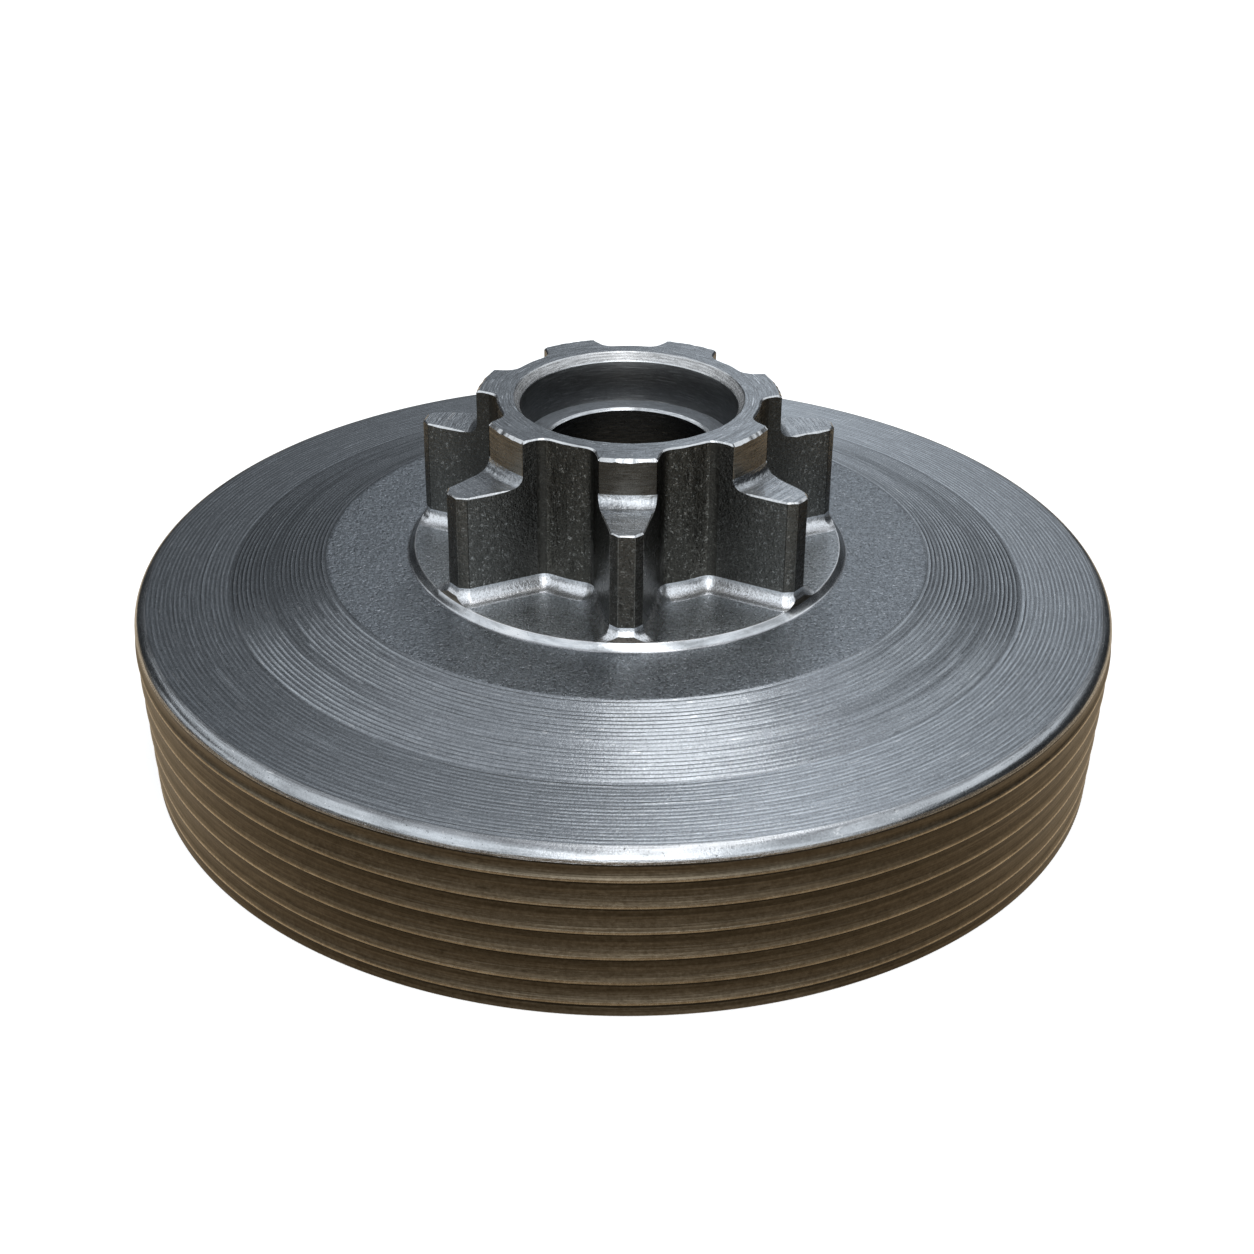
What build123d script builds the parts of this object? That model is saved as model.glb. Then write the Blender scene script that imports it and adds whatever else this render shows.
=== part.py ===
from build123d import *
import math
import os

# Chainsaw clutch drum with its spur sprocket, one turned forging.
# Millimetres. The rim of the cup stands on Z = 0, the spindle axis is +Z,
# the sprocket points up and one tooth lies on -Y.

# drum, outside
drum_r = 38.066          # wall crest line carried up to the top edge: 76 mm across
rim_r = 37.30            # wall crest line at the open rim (forging draft)
wall_top_z = 12.70       # where the wall passes into the edge rounding
edge_z = 13.67           # top face at the edge rounding
edge_fillet = 0.95
groove_depth = 0.20      # turned grooves between the wall's crests
crest_z = [11.44, 9.29, 7.13, 4.97, 2.81, 1.02]
top_gap = 0.40           # the edge rounding starts this far under wall_top_z
rim_edge = 0.08          # edge break at the outside of the rim

# drum, top face
annulus_z = 16.0         # as-forged inner ring
cone_in_r = 23.36        # turned conical band, inner edge
cone_out_r = 30.80       # turned conical band, outer edge
cone_out_z = 14.17

# drum, inside
friction_r = 34.25       # shoe running surface
friction_top_z = 10.9
inside_fillet = 1.6
web_cone_z = 11.25       # underside of the web at cone_out_r
web_z = 13.15            # underside of the web, inner flat
web_cone_in_r = 23.0
boss_r = 10.2            # land round the bearing bore, inside the cup
boss_z = 12.55
rim_chamfer = 0.5        # lead-in for the shoes

# island that carries the teeth
island_z = 16.55
island_top_r = 16.60
island_foot_r = 17.10
foot_cut_r = 16.27       # where the turned edge meets the tooth tips
foot_cut_z = 17.65

# sprocket
teeth = 7
top_z = 28.62            # top ring and lugs
lug_r = 11.62
lug_half_deg = 10.475
lug_edge = 0.22          # edge break round the top of the lugs
ledge_z = 24.95          # top of the outer, turned-down part of each tooth
ledge_fillet = 0.90
tip_r = 16.26            # middle facet of the tip
tip_half = 0.60
corner_u = 15.70         # where the flank meets the tip chamfer
corner_half = 1.20
root_r = 10.0
root_fillet = 1.15
foot_fillet = 1.05       # flank to island

# bore
mouth_r = 8.72           # chamfer at the top
counter_r = 8.25         # counterbore
mouth_z = 27.95
counter_z = 24.68        # its floor
bore_r = 6.50            # needle cage bore
bore_chamfer = 0.19
bore_exit_chamfer = 0.40


def section_face(points):
    """A closed (r, z) outline in the XZ plane. A point (r, z, radius) is
    rounded with a tangent arc."""
    n = len(points)
    heads, tails, mids = [], [], []
    for i, p in enumerate(points):
        q = Vector(p[0], 0, p[1])
        if len(p) == 2:
            heads.append(q)
            tails.append(q)
            mids.append(None)
            continue
        before, after = points[i - 1], points[(i + 1) % n]
        u = (Vector(before[0], 0, before[1]) - q).normalized()
        v = (Vector(after[0], 0, after[1]) - q).normalized()
        half = math.acos(max(-1.0, min(1.0, u.dot(v)))) / 2
        reach = p[2] / math.tan(half)
        bisect = (u + v).normalized()
        heads.append(q + u * reach)
        tails.append(q + v * reach)
        mids.append(q + bisect * (p[2] / math.sin(half) - p[2]))
    edges = []
    for i in range(n):
        if mids[i] is not None:
            edges.append(Edge.make_three_point_arc(heads[i], mids[i], tails[i]))
        edges.append(Edge.make_line(tails[i], heads[(i + 1) % n]))
    return Face(Wire(edges))


def wall_r(z):
    return rim_r + (drum_r - rim_r) * z / wall_top_z


def outer_wall():
    # from the rim up: a short land, then each crest with the groove above it.
    # A groove steps in sharply under the crest above and flares out to the
    # crest below.
    pts = [(wall_r(0) - rim_edge, 0.0), (wall_r(0), rim_edge)]
    crests = sorted(crest_z)
    for i, z in enumerate(crests):
        pts.append((wall_r(z - 0.16), z - 0.16))
        pts.append((wall_r(z + 0.10), z + 0.10))
        nxt = crests[i + 1] - 0.16 if i + 1 < len(crests) else wall_top_z
        span = nxt - (z + 0.10)
        flare = z + 0.10 + span * 0.45
        under = nxt - 0.14 if i + 1 < len(crests) else wall_top_z - top_gap
        pts.append((wall_r(flare) - groove_depth, flare))
        pts.append((wall_r(under) - groove_depth, under))
    pts.append((wall_r(wall_top_z), wall_top_z))
    return pts


# ---- drum blank, one revolved section --------------------------------------
slope = math.atan2(cone_out_z - edge_z, drum_r - edge_fillet - cone_out_r)
corner_r = wall_r(edge_z)
corner = (corner_r, cone_out_z - math.tan(slope) * (corner_r - cone_out_r), edge_fillet)
outside = outer_wall()[:-1] + [corner]
top = [
    (cone_out_r, cone_out_z),
    (cone_in_r, annulus_z),
    (island_foot_r + 0.6, annulus_z),
    (island_foot_r + 0.6, island_z),
    (bore_r - 1.5, island_z),
]
inside = [
    (bore_r - 1.5, boss_z),
    (boss_r, boss_z),
    (boss_r + 0.6, web_z),
    (web_cone_in_r, web_z),
    (cone_out_r, web_cone_z),
    (friction_r, friction_top_z, inside_fillet),
    (friction_r, rim_chamfer),
    (friction_r + rim_chamfer, 0.0),
]
section = section_face(outside + top + inside)
drum = revolve(section, Axis.Z, 360)

# ---- sprocket outline ------------------------------------------------------
a = math.radians(lug_half_deg)
p1 = Vector(lug_r * math.cos(a), lug_r * math.sin(a), 0)
p2 = Vector(corner_u, corner_half, 0)
d = (p2 - p1).normalized()
n = Vector(-d.Y, d.X, 0)
# centre of the root fillet: root_fillet off the flank, root_r + root_fillet off the axis
base = p1 + n * root_fillet
b = base.dot(d)
c = base.dot(base) - (root_r + root_fillet) ** 2
t = -b - math.sqrt(b * b - c)
if (base + d * t).X < 0:
    t = -b + math.sqrt(b * b - c)
centre = base + d * t
flank_start = centre - n * root_fillet
root_end = centre * (root_r / (root_r + root_fillet))
mid_dir = ((flank_start - centre).normalized() + (root_end - centre).normalized()).normalized()
fillet_mid = centre + mid_dir * root_fillet


def turned(v, deg, mirror=False):
    y = -v.Y if mirror else v.Y
    g = math.radians(deg)
    return Vector(v.X * math.cos(g) - y * math.sin(g), v.X * math.sin(g) + y * math.cos(g), 0)


edges = []
pitch = 360.0 / teeth
for k in range(teeth):
    g = -90.0 + k * pitch
    # clockwise side first (mirrored), then the other, counter-clockwise overall
    lo = [turned(v, g, True) for v in (root_end, fillet_mid, flank_start, p2)]
    hi = [turned(v, g) for v in (root_end, fillet_mid, flank_start, p2)]
    facet_lo = turned(Vector(tip_r, -tip_half, 0), g)
    facet_hi = turned(Vector(tip_r, tip_half, 0), g)
    edges.append(Edge.make_three_point_arc(lo[0], lo[1], lo[2]))
    edges.append(Edge.make_line(lo[2], lo[3]))
    edges.append(Edge.make_line(lo[3], facet_lo))
    edges.append(Edge.make_line(facet_lo, facet_hi))
    edges.append(Edge.make_line(facet_hi, hi[3]))
    edges.append(Edge.make_line(hi[3], hi[2]))
    edges.append(Edge.make_three_point_arc(hi[2], hi[1], hi[0]))
    nxt = turned(root_end, g + pitch, True)
    half = math.radians(g + pitch / 2)
    valley = Vector(root_r * math.cos(half), root_r * math.sin(half), 0)
    edges.append(Edge.make_three_point_arc(hi[0], valley, nxt))
outline = Face(Wire(edges))
core_z = 14.6
sprocket = extrude(outline.moved(Location((0, 0, core_z))), top_z - core_z)

body = drum + sprocket

# fillet where the tooth flanks meet the island
foot = [
    e
    for e in body.edges()
    if abs(e.bounding_box().min.Z - island_z) < 1e-4
    and abs(e.bounding_box().max.Z - island_z) < 1e-4
    and root_r - 0.2 < math.hypot(e.center().X, e.center().Y) < island_foot_r
]
body = fillet(foot, foot_fillet)

# ---- turned-down outer part of the teeth -----------------------------------
lug_cut = section_face(
    [
        (lug_r - lug_edge - 1, top_z + 1),
        (lug_r, top_z - lug_edge),
        (lug_r, ledge_z, ledge_fillet),
        (tip_r + 3, ledge_z),
        (tip_r + 3, top_z + 1),
    ]
)
body = body - revolve(lug_cut, Axis.Z, 360)

# ---- turned edge of the island, which also cuts the foot of each tip --------
foot_cut = section_face(
    [
        (island_foot_r, annulus_z),
        (island_top_r, island_z),
        (foot_cut_r, foot_cut_z),
        (foot_cut_r, ledge_z + 1),
        (tip_r + 3, ledge_z + 1),
        (tip_r + 3, annulus_z),
    ]
)
body = body - revolve(foot_cut, Axis.Z, 360)

# ---- bore ------------------------------------------------------------------
bore_cut = section_face(
    [
        (0, top_z + 1),
        (mouth_r, top_z + 1),
        (mouth_r, top_z),
        (counter_r, mouth_z),
        (counter_r, counter_z),
        (bore_r + bore_chamfer, counter_z),
        (bore_r, counter_z - bore_chamfer),
        (bore_r, boss_z + bore_exit_chamfer),
        (bore_r + bore_exit_chamfer, boss_z),
        (bore_r + bore_exit_chamfer, boss_z - 1),
        (0, boss_z - 1),
    ]
)
body = body - revolve(bore_cut, Axis.Z, 360)

solids = body.solids()
drum_sprocket = max(solids, key=lambda q: q.volume)
print("solids", len(solids), "volume", round(drum_sprocket.volume, 1))

os.makedirs("parts", exist_ok=True)
export_step(drum_sprocket, "parts/drum_sprocket.step")
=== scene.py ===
import math

import bmesh
import bpy
import numpy as np
from mathutils import Matrix, Vector


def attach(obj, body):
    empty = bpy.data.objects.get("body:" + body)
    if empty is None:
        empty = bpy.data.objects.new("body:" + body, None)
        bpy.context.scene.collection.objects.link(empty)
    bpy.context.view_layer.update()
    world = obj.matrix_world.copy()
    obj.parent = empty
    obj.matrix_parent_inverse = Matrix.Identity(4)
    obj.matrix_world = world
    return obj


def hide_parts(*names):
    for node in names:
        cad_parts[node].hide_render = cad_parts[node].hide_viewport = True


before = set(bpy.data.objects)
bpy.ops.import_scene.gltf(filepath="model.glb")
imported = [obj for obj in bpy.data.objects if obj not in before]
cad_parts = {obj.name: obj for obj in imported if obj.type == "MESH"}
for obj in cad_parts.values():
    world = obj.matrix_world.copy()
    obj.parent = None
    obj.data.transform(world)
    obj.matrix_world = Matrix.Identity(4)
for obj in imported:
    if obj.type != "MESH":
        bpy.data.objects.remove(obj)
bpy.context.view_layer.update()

rng = np.random.default_rng(7)
MM = 0.001

# ---------------------------------------------------------------------------
# sizes, the same as the solid's, in millimetres
# ---------------------------------------------------------------------------
DRUM_R, RIM_R, WALL_TOP = 38.066, 37.30, 12.70
EDGE_Z, EDGE_FIL = 13.67, 0.95
GROOVE, RIM_EDGE = 0.20, 0.08
CRESTS = [11.44, 9.29, 7.13, 4.97, 2.81, 1.02]
ANN_Z = 16.0
CONE_IN, CONE_OUT, CONE_OUT_Z = 23.36, 30.80, 14.17
FRIC_R, FRIC_TOP, IN_FIL = 34.25, 10.9, 1.6
WEB_CONE_Z, WEB_Z, WEB_CONE_IN = 11.25, 13.15, 23.0
BOSS_R, BOSS_Z = 10.2, 12.55
ISL_Z, ISL_TOP_R, ISL_FOOT_R = 16.55, 16.60, 17.10
CUT_R, CUT_Z = 16.27, 17.65
TEETH, TOP_Z = 7, 28.62
LUG_R, LUG_HALF, LUG_EDGE = 11.62, 10.475, 0.22
LEDGE_Z, LEDGE_FIL = 24.95, 0.90
TIP_R, TIP_HALF, COR_U, COR_V = 16.26, 0.60, 15.70, 1.20
ROOT_R, ROOT_FIL, FOOT_FIL = 10.0, 1.15, 1.05
MOUTH_R, COUNT_R, MOUTH_Z, COUNT_Z = 8.72, 8.25, 27.95, 24.68
BORE_R, BORE_CH, EXIT_CH = 6.50, 0.19, 0.40

PER = 56                      # columns per tooth
N = TEETH * PER               # columns round the drum
PITCH = 2 * math.pi / TEETH


def wall_r(z):
    return RIM_R + (DRUM_R - RIM_R) * z / WALL_TOP


# ---------------------------------------------------------------------------
# plan outline of one half tooth, from the middle of the tip to mid valley
# ---------------------------------------------------------------------------
def half_tooth():
    """29 points (u, v) with outward normals (nu, nv), u along the tooth."""
    a = math.radians(LUG_HALF)
    p1 = np.array([LUG_R * math.cos(a), LUG_R * math.sin(a)])
    p2 = np.array([COR_U, COR_V])
    p3 = np.array([TIP_R, TIP_HALF])
    d = (p2 - p1) / np.linalg.norm(p2 - p1)
    nf = np.array([-d[1], d[0]])
    b = (p1 + nf * ROOT_FIL) @ d
    base = p1 + nf * ROOT_FIL
    c = base @ base - (ROOT_R + ROOT_FIL) ** 2
    t = -b - math.sqrt(b * b - c)
    if (base + d * t)[0] < 0:
        t = -b + math.sqrt(b * b - c)
    cen = base + d * t
    e = (p3 - p2) / np.linalg.norm(p3 - p2)
    nc = np.array([-e[1], e[0]])
    ang = lambda n: math.atan2(n[1], n[0])
    af, ac = ang(nf), ang(nc)
    pts, nor = [], []

    def put(p, al):
        pts.append(p)
        nor.append((math.cos(al), math.sin(al)))

    def corner(p, a0, a1, rad, k):
        mid = (a0 + a1) / 2
        half = abs(a1 - a0) / 2
        c0 = p - np.array([math.cos(mid), math.sin(mid)]) * (rad / math.cos(half))
        for al in np.linspace(a0, a1, k):
            put(c0 + rad * np.array([math.cos(al), math.sin(al)]), al)

    for v in (0.0, 0.22, 0.42):
        put(np.array([TIP_R, v]), 0.0)
    corner(p3, 0.0, ac, 0.10, 2)
    put((p2 + p3) / 2, ac)
    corner(p2, ac, af, 0.12, 3)
    for r in (14.8, 13.8, 13.0):
        put(on_line(p1, d, r), af)
    for k in range(7):
        put(on_line(p1, d, fillet_row(k)[0]), af)
    start = cen - nf * ROOT_FIL
    put((on_line(p1, d, LUG_R) + start) / 2, af)
    ar = math.atan2(cen[1], cen[0])
    for al in np.linspace(af, ar, 6):
        put(cen - ROOT_FIL * np.array([math.cos(al), math.sin(al)]), al)
    for al in np.linspace(ar, PITCH / 2, 4)[1:]:
        put(ROOT_R * np.array([math.cos(al), math.sin(al)]), al)
    return np.array(pts), np.array(nor)


def on_line(p, d, r):
    """The point at radius r on the flank line, on the tooth's outer side."""
    b = p @ d
    c = p @ p - r * r
    return p + d * (-b + math.sqrt(max(b * b - c, 0.0)))


def fillet_row(k):
    """(r, z) of row k of the turned fillet, 0 on the ledge to 6 on the lug."""
    f = math.radians(15 * k)
    return (LUG_R + LEDGE_FIL * (1 - math.sin(f)), LEDGE_Z + LEDGE_FIL * (1 - math.cos(f)))


HP, HN = half_tooth()
assert len(HP) == PER // 2 + 1, len(HP)
OUT = np.zeros((N, 2))
NOR = np.zeros((N, 2))
HALF = np.zeros(N, int)
for k in range(TEETH):
    g = -math.pi / 2 + k * PITCH
    cg, sg = math.cos(g), math.sin(g)
    for j in range(-PER // 2, PER // 2):
        i = k * PER + j + PER // 2
        h, s = abs(j), (1 if j >= 0 else -1)
        u, v = HP[h][0], HP[h][1] * s
        a, b = HN[h][0], HN[h][1] * s
        OUT[i] = (u * cg - v * sg, u * sg + v * cg)
        NOR[i] = (a * cg - b * sg, a * sg + b * cg)
        HALF[i] = h
RAD = np.hypot(OUT[:, 0], OUT[:, 1])
TH = np.unwrap(np.arctan2(OUT[:, 1], OUT[:, 0]))
UNI = TH[0] + np.arange(N) * (2 * math.pi / N)


def ring(r, z, th):
    r = np.broadcast_to(r, th.shape)
    z = np.broadcast_to(z, th.shape)
    return np.stack([r * np.cos(th), r * np.sin(th), z], 1)


# ---------------------------------------------------------------------------
# forged surfaces are never quite flat: slow waves, smooth and seeded
# ---------------------------------------------------------------------------
def waves(p, scale, seed, count=14):
    r = np.random.default_rng(seed)
    k = r.normal(size=(count, 3))
    k /= np.linalg.norm(k, axis=1)[:, None]
    k *= 2 * math.pi / (scale * r.uniform(0.6, 1.7, count))[:, None]
    ph = r.uniform(0, 2 * math.pi, count)
    return np.sin(p @ k.T + ph).sum(1) / math.sqrt(count)


# ---------------------------------------------------------------------------
# rows of points, from the bore's mouth over the teeth, down the outside, under
# the rim, up the inside and back through the bore. Each row also names the
# finish of the strip that leads to the next row.
# ---------------------------------------------------------------------------
rows, finish = [], []


def add(points, name):
    rows.append(np.asarray(points, float))
    finish.append(name)


HALF_UNI = UNI[::2]
at_lug = RAD >= LUG_R - 1e-6
edge_w = np.where(at_lug, LUG_EDGE, 0.11) * (1 + 0.18 * np.clip(waves(np.c_[OUT, np.zeros(N)], 1.1, 41), -1.3, 1.3))
clip = np.minimum(RAD, LUG_R)
CLIP = OUT * (clip / RAD)[:, None]
rad_n = OUT / RAD[:, None]
top_n = np.where(at_lug[:, None], rad_n, NOR)
corner_h = 11 + 6                      # the column where the flank meets the lug face
for i in np.where(HALF == corner_h)[0]:
    top_n[i] = rad_n[i] + NOR[i]
    top_n[i] /= 1 + rad_n[i] @ NOR[i]
    edge_w[i] = 0.14

# the upright corners of the lugs are rounded, more on the far side
WORN = (0.35, 0.45, 0.80, 1.0, 1.0, 0.90, 0.40)
LUG_FIL = 0.36
round_off = np.zeros((N, 2))
for k in range(TEETH):
    mid = k * PER + PER // 2
    for sgn in (1, -1):
        c = mid + sgn * corner_h
        p = CLIP[c]
        flank_n = NOR[c]
        face_n = rad_n[c]
        rho = LUG_FIL * WORN[k]
        gap = math.acos(max(-1.0, min(1.0, face_n @ flank_n)))
        centre = p - (face_n + flank_n) / (1 + face_n @ flank_n) * rho
        for h in range(corner_h - 6, corner_h + 1):
            i = mid + sgn * h
            t = (h - corner_h + 6) / 6
            n2 = face_n * math.sin((1 - t) * gap) + flank_n * math.sin(t * gap)
            n2 /= math.sin(gap)
            round_off[i] = centre + rho * n2 - CLIP[i]
            top_n[i] = n2
            edge_w[i] = LUG_EDGE + (0.14 - LUG_EDGE) * t
chip = np.clip(waves(ring(MOUTH_R, TOP_Z, HALF_UNI), 0.9, 61), -1.2, 1.6)
add(ring(MOUTH_R + 0.07 + 0.018 * chip, TOP_Z, HALF_UNI), "top")
mix = TH * 0.6 + UNI * 0.4
add(ring(MOUTH_R + 0.40, TOP_Z, mix), "top")
ins = CLIP + round_off - top_n * edge_w[:, None]
add(np.c_[ins, np.full(N, TOP_Z)], "edge")
add(np.c_[CLIP + round_off, TOP_Z - edge_w], "lug")
# down the lug face (or the flank above the ledge)
for z in (27.6, 26.7):
    add(np.c_[CLIP + round_off, np.full(N, z)], "lug")
for k in range(6, -1, -1):
    r, z = fillet_row(k)
    q = np.minimum(RAD, r)
    add(np.c_[OUT * (q / RAD)[:, None] + round_off * (0.55 if k == 6 else 0.0), np.full(N, z)], "sweep" if k else "ledge")
uneven = 1 + 0.35 * np.clip(waves(np.c_[OUT, np.zeros(N)], 1.3, 31), -1.2, 1.6)
bev = np.where(RAD > fillet_row(0)[0] + 1e-6, 0.11 * uneven, 0.0)
add(np.c_[OUT - NOR * bev[:, None], np.full(N, LEDGE_Z)], "edge")
add(np.c_[OUT, np.full(N, LEDGE_Z) - bev], "flank")
for z in (24.3, 23.2, 21.9, 20.5, 19.1, 18.1):
    add(np.c_[OUT, np.full(N, z)], "flank")


# foot of the teeth
def foot(i, s):
    b = math.pi / 2 * s
    off = FOOT_FIL * (1 - math.cos(b))
    z = ISL_Z + FOOT_FIL * (1 - math.sin(b))
    return np.array([OUT[i, 0] + NOR[i, 0] * off, OUT[i, 1] + NOR[i, 1] * off, z])


def cone_r(z):
    return ISL_TOP_R - (ISL_TOP_R - CUT_R) * (z - ISL_Z) / (CUT_Z - ISL_Z)


s_cut = np.ones(N)
for i in range(N):
    f = lambda s: math.hypot(*foot(i, s)[:2]) - cone_r(foot(i, s)[2])
    ss = np.linspace(0, 1, 60)
    v = [f(s) for s in ss]
    hit = [n for n in range(1, 60) if v[n] > 0]
    if hit:
        lo, hi = ss[hit[0] - 1], ss[hit[0]]
        for _ in range(30):
            m = (lo + hi) / 2
            lo, hi = (lo, m) if f(m) > 0 else (m, hi)
        s_cut[i] = hi
FOOT_ROWS = 6
for m in range(FOOT_ROWS + 1):
    add([foot(i, s_cut[i] * m / FOOT_ROWS) for i in range(N)], "foot" if m < FOOT_ROWS else "island")
last = rows[-1]
last_th = np.unwrap(np.arctan2(last[:, 1], last[:, 0]))
# angle on the island's edge: straight down the turned edge where it cuts a
# tooth, spread evenly over the valleys elsewhere
isl_th = np.zeros(N)
cut_h = max(HALF[s_cut < 1 - 1e-9])
for k in range(TEETH):
    mid = k * PER + PER // 2
    g = TH[mid]
    for s in (1, -1):
        lim = abs(last_th[mid + s * cut_h] - g)
        for h in range(0, PER // 2 + (0 if s == 1 else 1)):
            i = mid + s * h
            if h <= cut_h:
                isl_th[i] = last_th[i]
            else:
                isl_th[i] = g + s * (lim + (PITCH / 2 - lim) * (h - cut_h) / (PER // 2 - cut_h))
edge_row = ring(ISL_TOP_R, ISL_Z, isl_th)
add(last * 0.55 + edge_row * 0.45, "island")
soft = (HALF > cut_h).astype(float)      # the burnished corner, near white and partly a painted highlight, stops at the tooth tips
add(ring(ISL_TOP_R - 0.09 * soft, ISL_Z, isl_th), "edge")
add(ring(ISL_TOP_R - 0.01 * soft, ISL_Z - 0.012 * soft, isl_th), "edge")
add(ring(ISL_TOP_R + 0.05 * soft, ISL_Z - 0.055 * soft, isl_th), "rim_isl")
add(ring(ISL_FOOT_R - 0.17, ANN_Z + 0.105, isl_th), "rim_isl")
add(ring(ISL_FOOT_R - 0.07, ANN_Z + 0.030, isl_th), "rim_foot")
add(ring(ISL_FOOT_R + 0.05, ANN_Z, isl_th), "forged")
for r, w in ((17.30, 0.1), (17.8, 0.35), (18.5, 0.65), (19.4, 1.0), (20.5, 1.0), (21.6, 1.0), (22.6, 1.0), (23.15, 1.0)):
    add(ring(r, ANN_Z, isl_th * (1 - w) + UNI * w), "forged")
# turned bands: cusps between shallow round grooves, none quite like the next
def groove(q, seed):
    """Depth of groove q round the axis, as a share of the mean."""
    r = np.random.default_rng(seed * 100 + q)
    share = r.uniform(0.80, 1.15)
    for n in range(4):
        share = share + r.uniform(0.03, 0.09) * np.sin(UNI * r.integers(1, 9) + r.uniform(0, 6.28))
    return np.clip(share, 0.4, 1.5)


n_g = 22
pc = (CONE_OUT - CONE_IN) / n_g
slope = (CONE_OUT_Z - ANN_Z) / (CONE_OUT - CONE_IN)
for q in range(n_g):
    deep = groove(q, 1)
    for f, lift in ((0.0, 0.013), (0.33, -0.013), (0.72, -0.010)):
        r = CONE_IN + pc * (q + f)
        z = ANN_Z + slope * (r - CONE_IN) + (lift * deep if (q or f) else 0.0)
        add(ring(r, z, UNI), "cone")
# outer ring
n_o = 18
tilt = (EDGE_Z - CONE_OUT_Z) / (DRUM_R - EDGE_FIL - CONE_OUT)
po = 0.345
for q in range(n_o):
    deep = groove(q, 2)
    for f, lift in ((0.0, 0.0102), (0.36, -0.0102), (0.72, -0.0082)):
        r = CONE_OUT + po * (q + f)
        z = CONE_OUT_Z + tilt * (r - CONE_OUT) + (lift * deep if (q or f) else 0.0)
        add(ring(r, z, UNI), "outer")
# rounded top edge with a few file lines and a nicked lower border
corner_r = wall_r(EDGE_Z)
corner = np.array([corner_r, CONE_OUT_Z + tilt * (corner_r - CONE_OUT)])
u = np.array([CONE_OUT, CONE_OUT_Z]) - corner
u /= np.linalg.norm(u)
v = np.array([wall_r(12.30) - GROOVE, 12.30]) - corner
v /= np.linalg.norm(v)
half = math.acos(u @ v) / 2
cen = corner + (u + v) / np.linalg.norm(u + v) * (EDGE_FIL / math.sin(half))
a0 = math.atan2(*(corner + u * EDGE_FIL / math.tan(half) - cen)[::-1])
a1 = math.atan2(*(corner + v * EDGE_FIL / math.tan(half) - cen)[::-1])
on_arc = lambda t: cen + EDGE_FIL * np.array([math.cos(a0 + (a1 - a0) * t), math.sin(a0 + (a1 - a0) * t)])
chew = np.clip(waves(ring(38.0, 13.0, UNI), 0.9, 51), -1.4, 1.4)
fray = np.clip(waves(ring(38.0, 13.0, UNI), 0.7, 52), -1.4, 1.4)
# the dark rows near the foot of the rounding are a near-black line of painted shade where it turns into the wall
for t, sink, name in ((0.0, 0.0, "round"), (0.10, 0.0, "round"), (0.20, 0.002, "round"), (0.29, 0.0, "round"), (0.36, 0.009, "round"),
                      (0.41, 0.001, "round"), (0.50, 0.0, "round"), (0.57, 0.008, "round"), (0.62, 0.0, "round"),
                      (0.71, 0.0, "lip"), (0.86, 0.0, "dark"), (0.93, 0.006, "wall"), (1.0, 0.0, "wall")):
    p = on_arc(t)
    q = cen + (p - cen) * (1 - sink / EDGE_FIL)
    if name == "lip":
        q = q[:, None] + np.array([0.004, -0.010])[:, None] * chew
    elif name == "dark":
        q = q[:, None] + np.array([0.003, 0.014])[:, None] * fray - np.array([0.006, 0.0])[:, None]
    add(ring(q[0], q[1], UNI), name)
# wall with its crests: a groove steps in sharply under each crest and flares
# out to the crest below
# the strips' colours paint the light: a painted highlight on each crest and the flare above it (crest, glint, flare),
# painted shade in the step under it (under, shade)
for n, zc in enumerate(CRESTS):
    if n == 0:
        add(ring(wall_r(12.30) - GROOVE, 12.30, UNI), "wall")
        add(ring(wall_r(11.98) - GROOVE * 0.93, 11.98, UNI), "wall")
        add(ring(wall_r(11.74) - GROOVE * 0.45, 11.74, UNI), "flare")
    else:
        top = CRESTS[n - 1] - 0.16
        gap = top - zc - 0.10
        add(ring(wall_r(top) - 0.035, top, UNI), "under")
        add(ring(wall_r(top - 0.14) - GROOVE, top - 0.14, UNI), "shade")
        add(ring(wall_r(top - gap * 0.33) - GROOVE * 1.02, top - gap * 0.33, UNI), "wall")
        add(ring(wall_r(top - gap * 0.55) - GROOVE * 0.94, top - gap * 0.55, UNI), "wall")
        add(ring(wall_r(top - gap * 0.80) - GROOVE * 0.50, top - gap * 0.80, UNI), "flare")
    add(ring(wall_r(zc + 0.20) - 0.032, zc + 0.20, UNI), "glint")
    add(ring(wall_r(zc + 0.10) - 0.014, zc + 0.10, UNI), "crest")
    add(ring(wall_r(zc - 0.03) - 0.004, zc - 0.03, UNI), "under")
top = CRESTS[-1] - 0.16
add(ring(wall_r(top) - 0.035, top, UNI), "under")
add(ring(wall_r(top - 0.12) - 0.10, top - 0.12, UNI), "shade")
add(ring(wall_r(0.40) - 0.06, 0.40, UNI), "wall")
add(ring(wall_r(RIM_EDGE) - 0.003, RIM_EDGE, UNI), "wall")
add(ring(wall_r(0.0) - RIM_EDGE, 0.0, UNI), "rim")
# under the rim and up the inside, on half as many columns
add(ring(36.0, 0.0, UNI), "rim")
add(ring(FRIC_R + 0.5, 0.0, HALF_UNI), "edge_in")
add(ring(FRIC_R, 0.5, HALF_UNI), "friction")
for z in (2.5, 5.0, 7.5):
    add(ring(FRIC_R, z, HALF_UNI), "friction")
c = np.array([FRIC_R, FRIC_TOP])
u = np.array([FRIC_R, 0.0]) - c
u /= np.linalg.norm(u)
v = np.array([CONE_OUT, WEB_CONE_Z]) - c
v /= np.linalg.norm(v)
half = math.acos(u @ v) / 2
cen = c + (u + v) / np.linalg.norm(u + v) * (IN_FIL / math.sin(half))
a0 = math.atan2(*(c + u * IN_FIL / math.tan(half) - cen)[::-1])
a1 = math.atan2(*(c + v * IN_FIL / math.tan(half) - cen)[::-1])
for al in np.linspace(a0, a1, 7):
    p = cen + IN_FIL * np.array([math.cos(al), math.sin(al)])
    add(ring(p[0], p[1], HALF_UNI), "web")
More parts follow.
